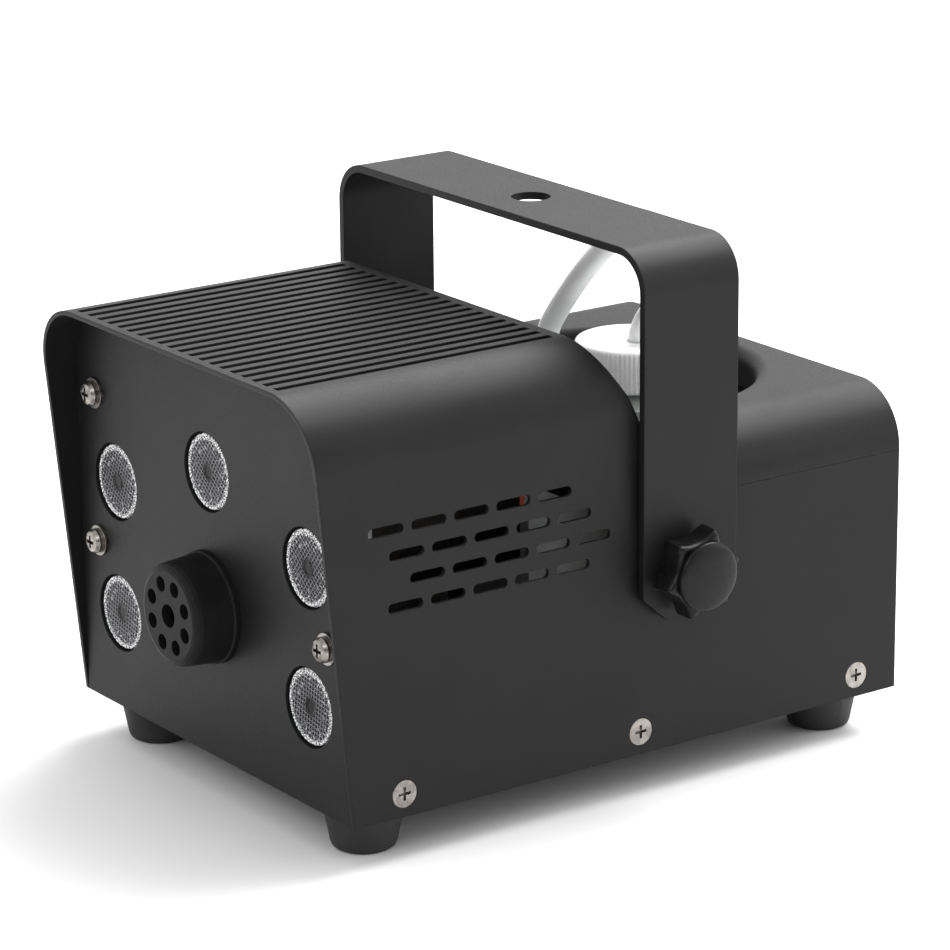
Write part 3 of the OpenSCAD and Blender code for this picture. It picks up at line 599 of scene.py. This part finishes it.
def lens_mesh():
    seg, rows = 216, []
    verts = []
    radii = [0.0] + [0.25 * i for i in range(1, 37)]      # to 9.0 mm
    for i, r in enumerate(radii):
        row = []
        for k in range(1 if i == 0 else seg):
            a = 2 * math.pi * k / seg
            x, z = r * math.cos(a), r * math.sin(a)
            u = ((x / PITCH + 0.5) % 1.0) * 2 - 1
            w = ((z / PITCH + 0.5) % 1.0) * 2 - 1
            pillow = 0.20 * (1 - u * u) * (1 - w * w)
            fade = min(1.0, max(0.0, (8.9 - r) / 0.8)) * min(1.0, max(0.0, (r - 1.6) / 1.0))
            y = -0.02 - pillow * fade + 0.10 * (r < 1.6)
            row.append(len(verts))
            verts.append(Vector((x * MM, y * MM, z * MM)))
        rows.append(row)
    for r, y in ((9.2, -0.05), (9.4, -0.12), (9.6, -0.10), (9.78, 0.0), (9.9, 0.14), (9.97, 0.34), (10.0, 0.6), (10.0, 2.6),
                 (8.4, 2.65), (4.6, 6.6), (3.6, 6.75)):
        row = []
        for k in range(seg):
            a = 2 * math.pi * k / seg
            row.append(len(verts))
            verts.append(Vector((r * math.cos(a) * MM, y * MM, r * math.sin(a) * MM)))
        rows.append(row)
    rows.append([len(verts)])
    verts.append(Vector((0, 6.4 * MM, 0)))
    faces = []
    for a, b in zip(rows, rows[1:]):
        for k in range(seg):
            n = (k + 1) % seg
            if len(a) == 1:
                faces.append((a[0], b[k], b[n]))
            elif len(b) == 1:
                faces.append((a[k], b[0], a[n]))
            else:
                faces.append((a[k], b[k], b[n], a[n]))
    return verts, faces


lens_v, lens_f = lens_mesh()
lamps = [(-45.4, 62.7, 24), (-45.4, 26.4, 12), (0, 76.4, 33), (45.4, 62.7, 40), (45.4, 26.4, 8)]
for i, (x, z, turn) in enumerate(lamps):
    mat = Matrix.Translation(P(x, 0.72, z)) @ Matrix.Rotation(math.radians(turn), 4, "Y")
    ob = mesh_obj("lamp_lens_%d" % (i + 1), lens_v, lens_f, 55, mat)
    add(ob, "casing", "lens_clear", "led_lenses")

# ---------------------------------------------------------------- floor and light
floor_n = Nodes("studio_floor")
fine = floor_n.noise(floor_n.co, 220.0, 3.0)
floor_n.set(
    Base_Color=floor_n.mix(floor_n.remap(fine, 0.3, 0.7, 0.0, 1.0), (0.86, 0.86, 0.86), (0.88, 0.88, 0.88)),
    Roughness=floor_n.remap(fine, 0.3, 0.7, 0.75, 0.9), Specular_IOR_Level=0.2,
)
s = 6.0
floor = mesh_obj("studio_floor", [(-s, -s, 0), (s, -s, 0), (s, s, 0), (-s, s, 0)], [(0, 1, 2, 3)], None)
floor.data.materials.append(floor_n.mat)

world = bpy.data.worlds.new("studio")
scene.world = world
world.use_nodes = True
wt = world.node_tree
wt.nodes.clear()
w_out = wt.nodes.new("ShaderNodeOutputWorld")
w_bg = wt.nodes.new("ShaderNodeBackground")
w_co = wt.nodes.new("ShaderNodeTexCoord")
w_dot = wt.nodes.new("ShaderNodeVectorMath")
w_dot.operation = "DOT_PRODUCT"
w_dot.inputs[1].default_value = tuple(Vector((-0.25, 0.65, 0.78)).normalized())
w_map = wt.nodes.new("ShaderNodeMapRange")
w_map.interpolation_type = "SMOOTHSTEP"
w_map.inputs["From Min"].default_value = -0.55
w_map.inputs["From Max"].default_value = 0.95
w_map.inputs["To Min"].default_value = 0.20
w_map.inputs["To Max"].default_value = 1.45
wt.links.new(w_co.outputs["Generated"], w_dot.inputs[0])
wt.links.new(w_dot.outputs["Value"], w_map.inputs["Value"])
wt.links.new(w_map.outputs[0], w_bg.inputs["Strength"])
w_bg.inputs["Color"].default_value = (1.0, 1.0, 1.0, 1.0)
wt.links.new(w_bg.outputs[0], w_out.inputs[0])


def area(name, at, aim, size, power):
    li = bpy.data.lights.new(name, "AREA")
    li.shape = "RECTANGLE"
    li.size, li.size_y = size
    li.energy = power
    ob = bpy.data.objects.new(name, li)
    coll.objects.link(ob)
    ob.location = at
    ob.rotation_mode = "QUATERNION"
    ob.rotation_quaternion = (Vector(aim) - Vector(at)).to_track_quat("-Z", "Y")
    return ob


area("overhead_box", (-0.15, 0.75, 1.25), (0, 0, 0.08), (1.5, 0.9), 33.0)
area("front_left_box", (-0.95, -1.25, 0.35), (0, 0, 0.06), (0.8, 0.6), 2.0)
area("front_right_high_box", (1.0, -1.6, 1.35), (0, 0, 0.08), (1.1, 0.8), 12.0)
area("rear_right_box", (0.75, 1.05, 0.42), (0, 0, 0.09), (0.7, 0.5), 2.5)

scene.view_settings.view_transform = "Standard"

# ---------------------------------------------------------------- last update, then the end
bpy.context.view_layer.update()
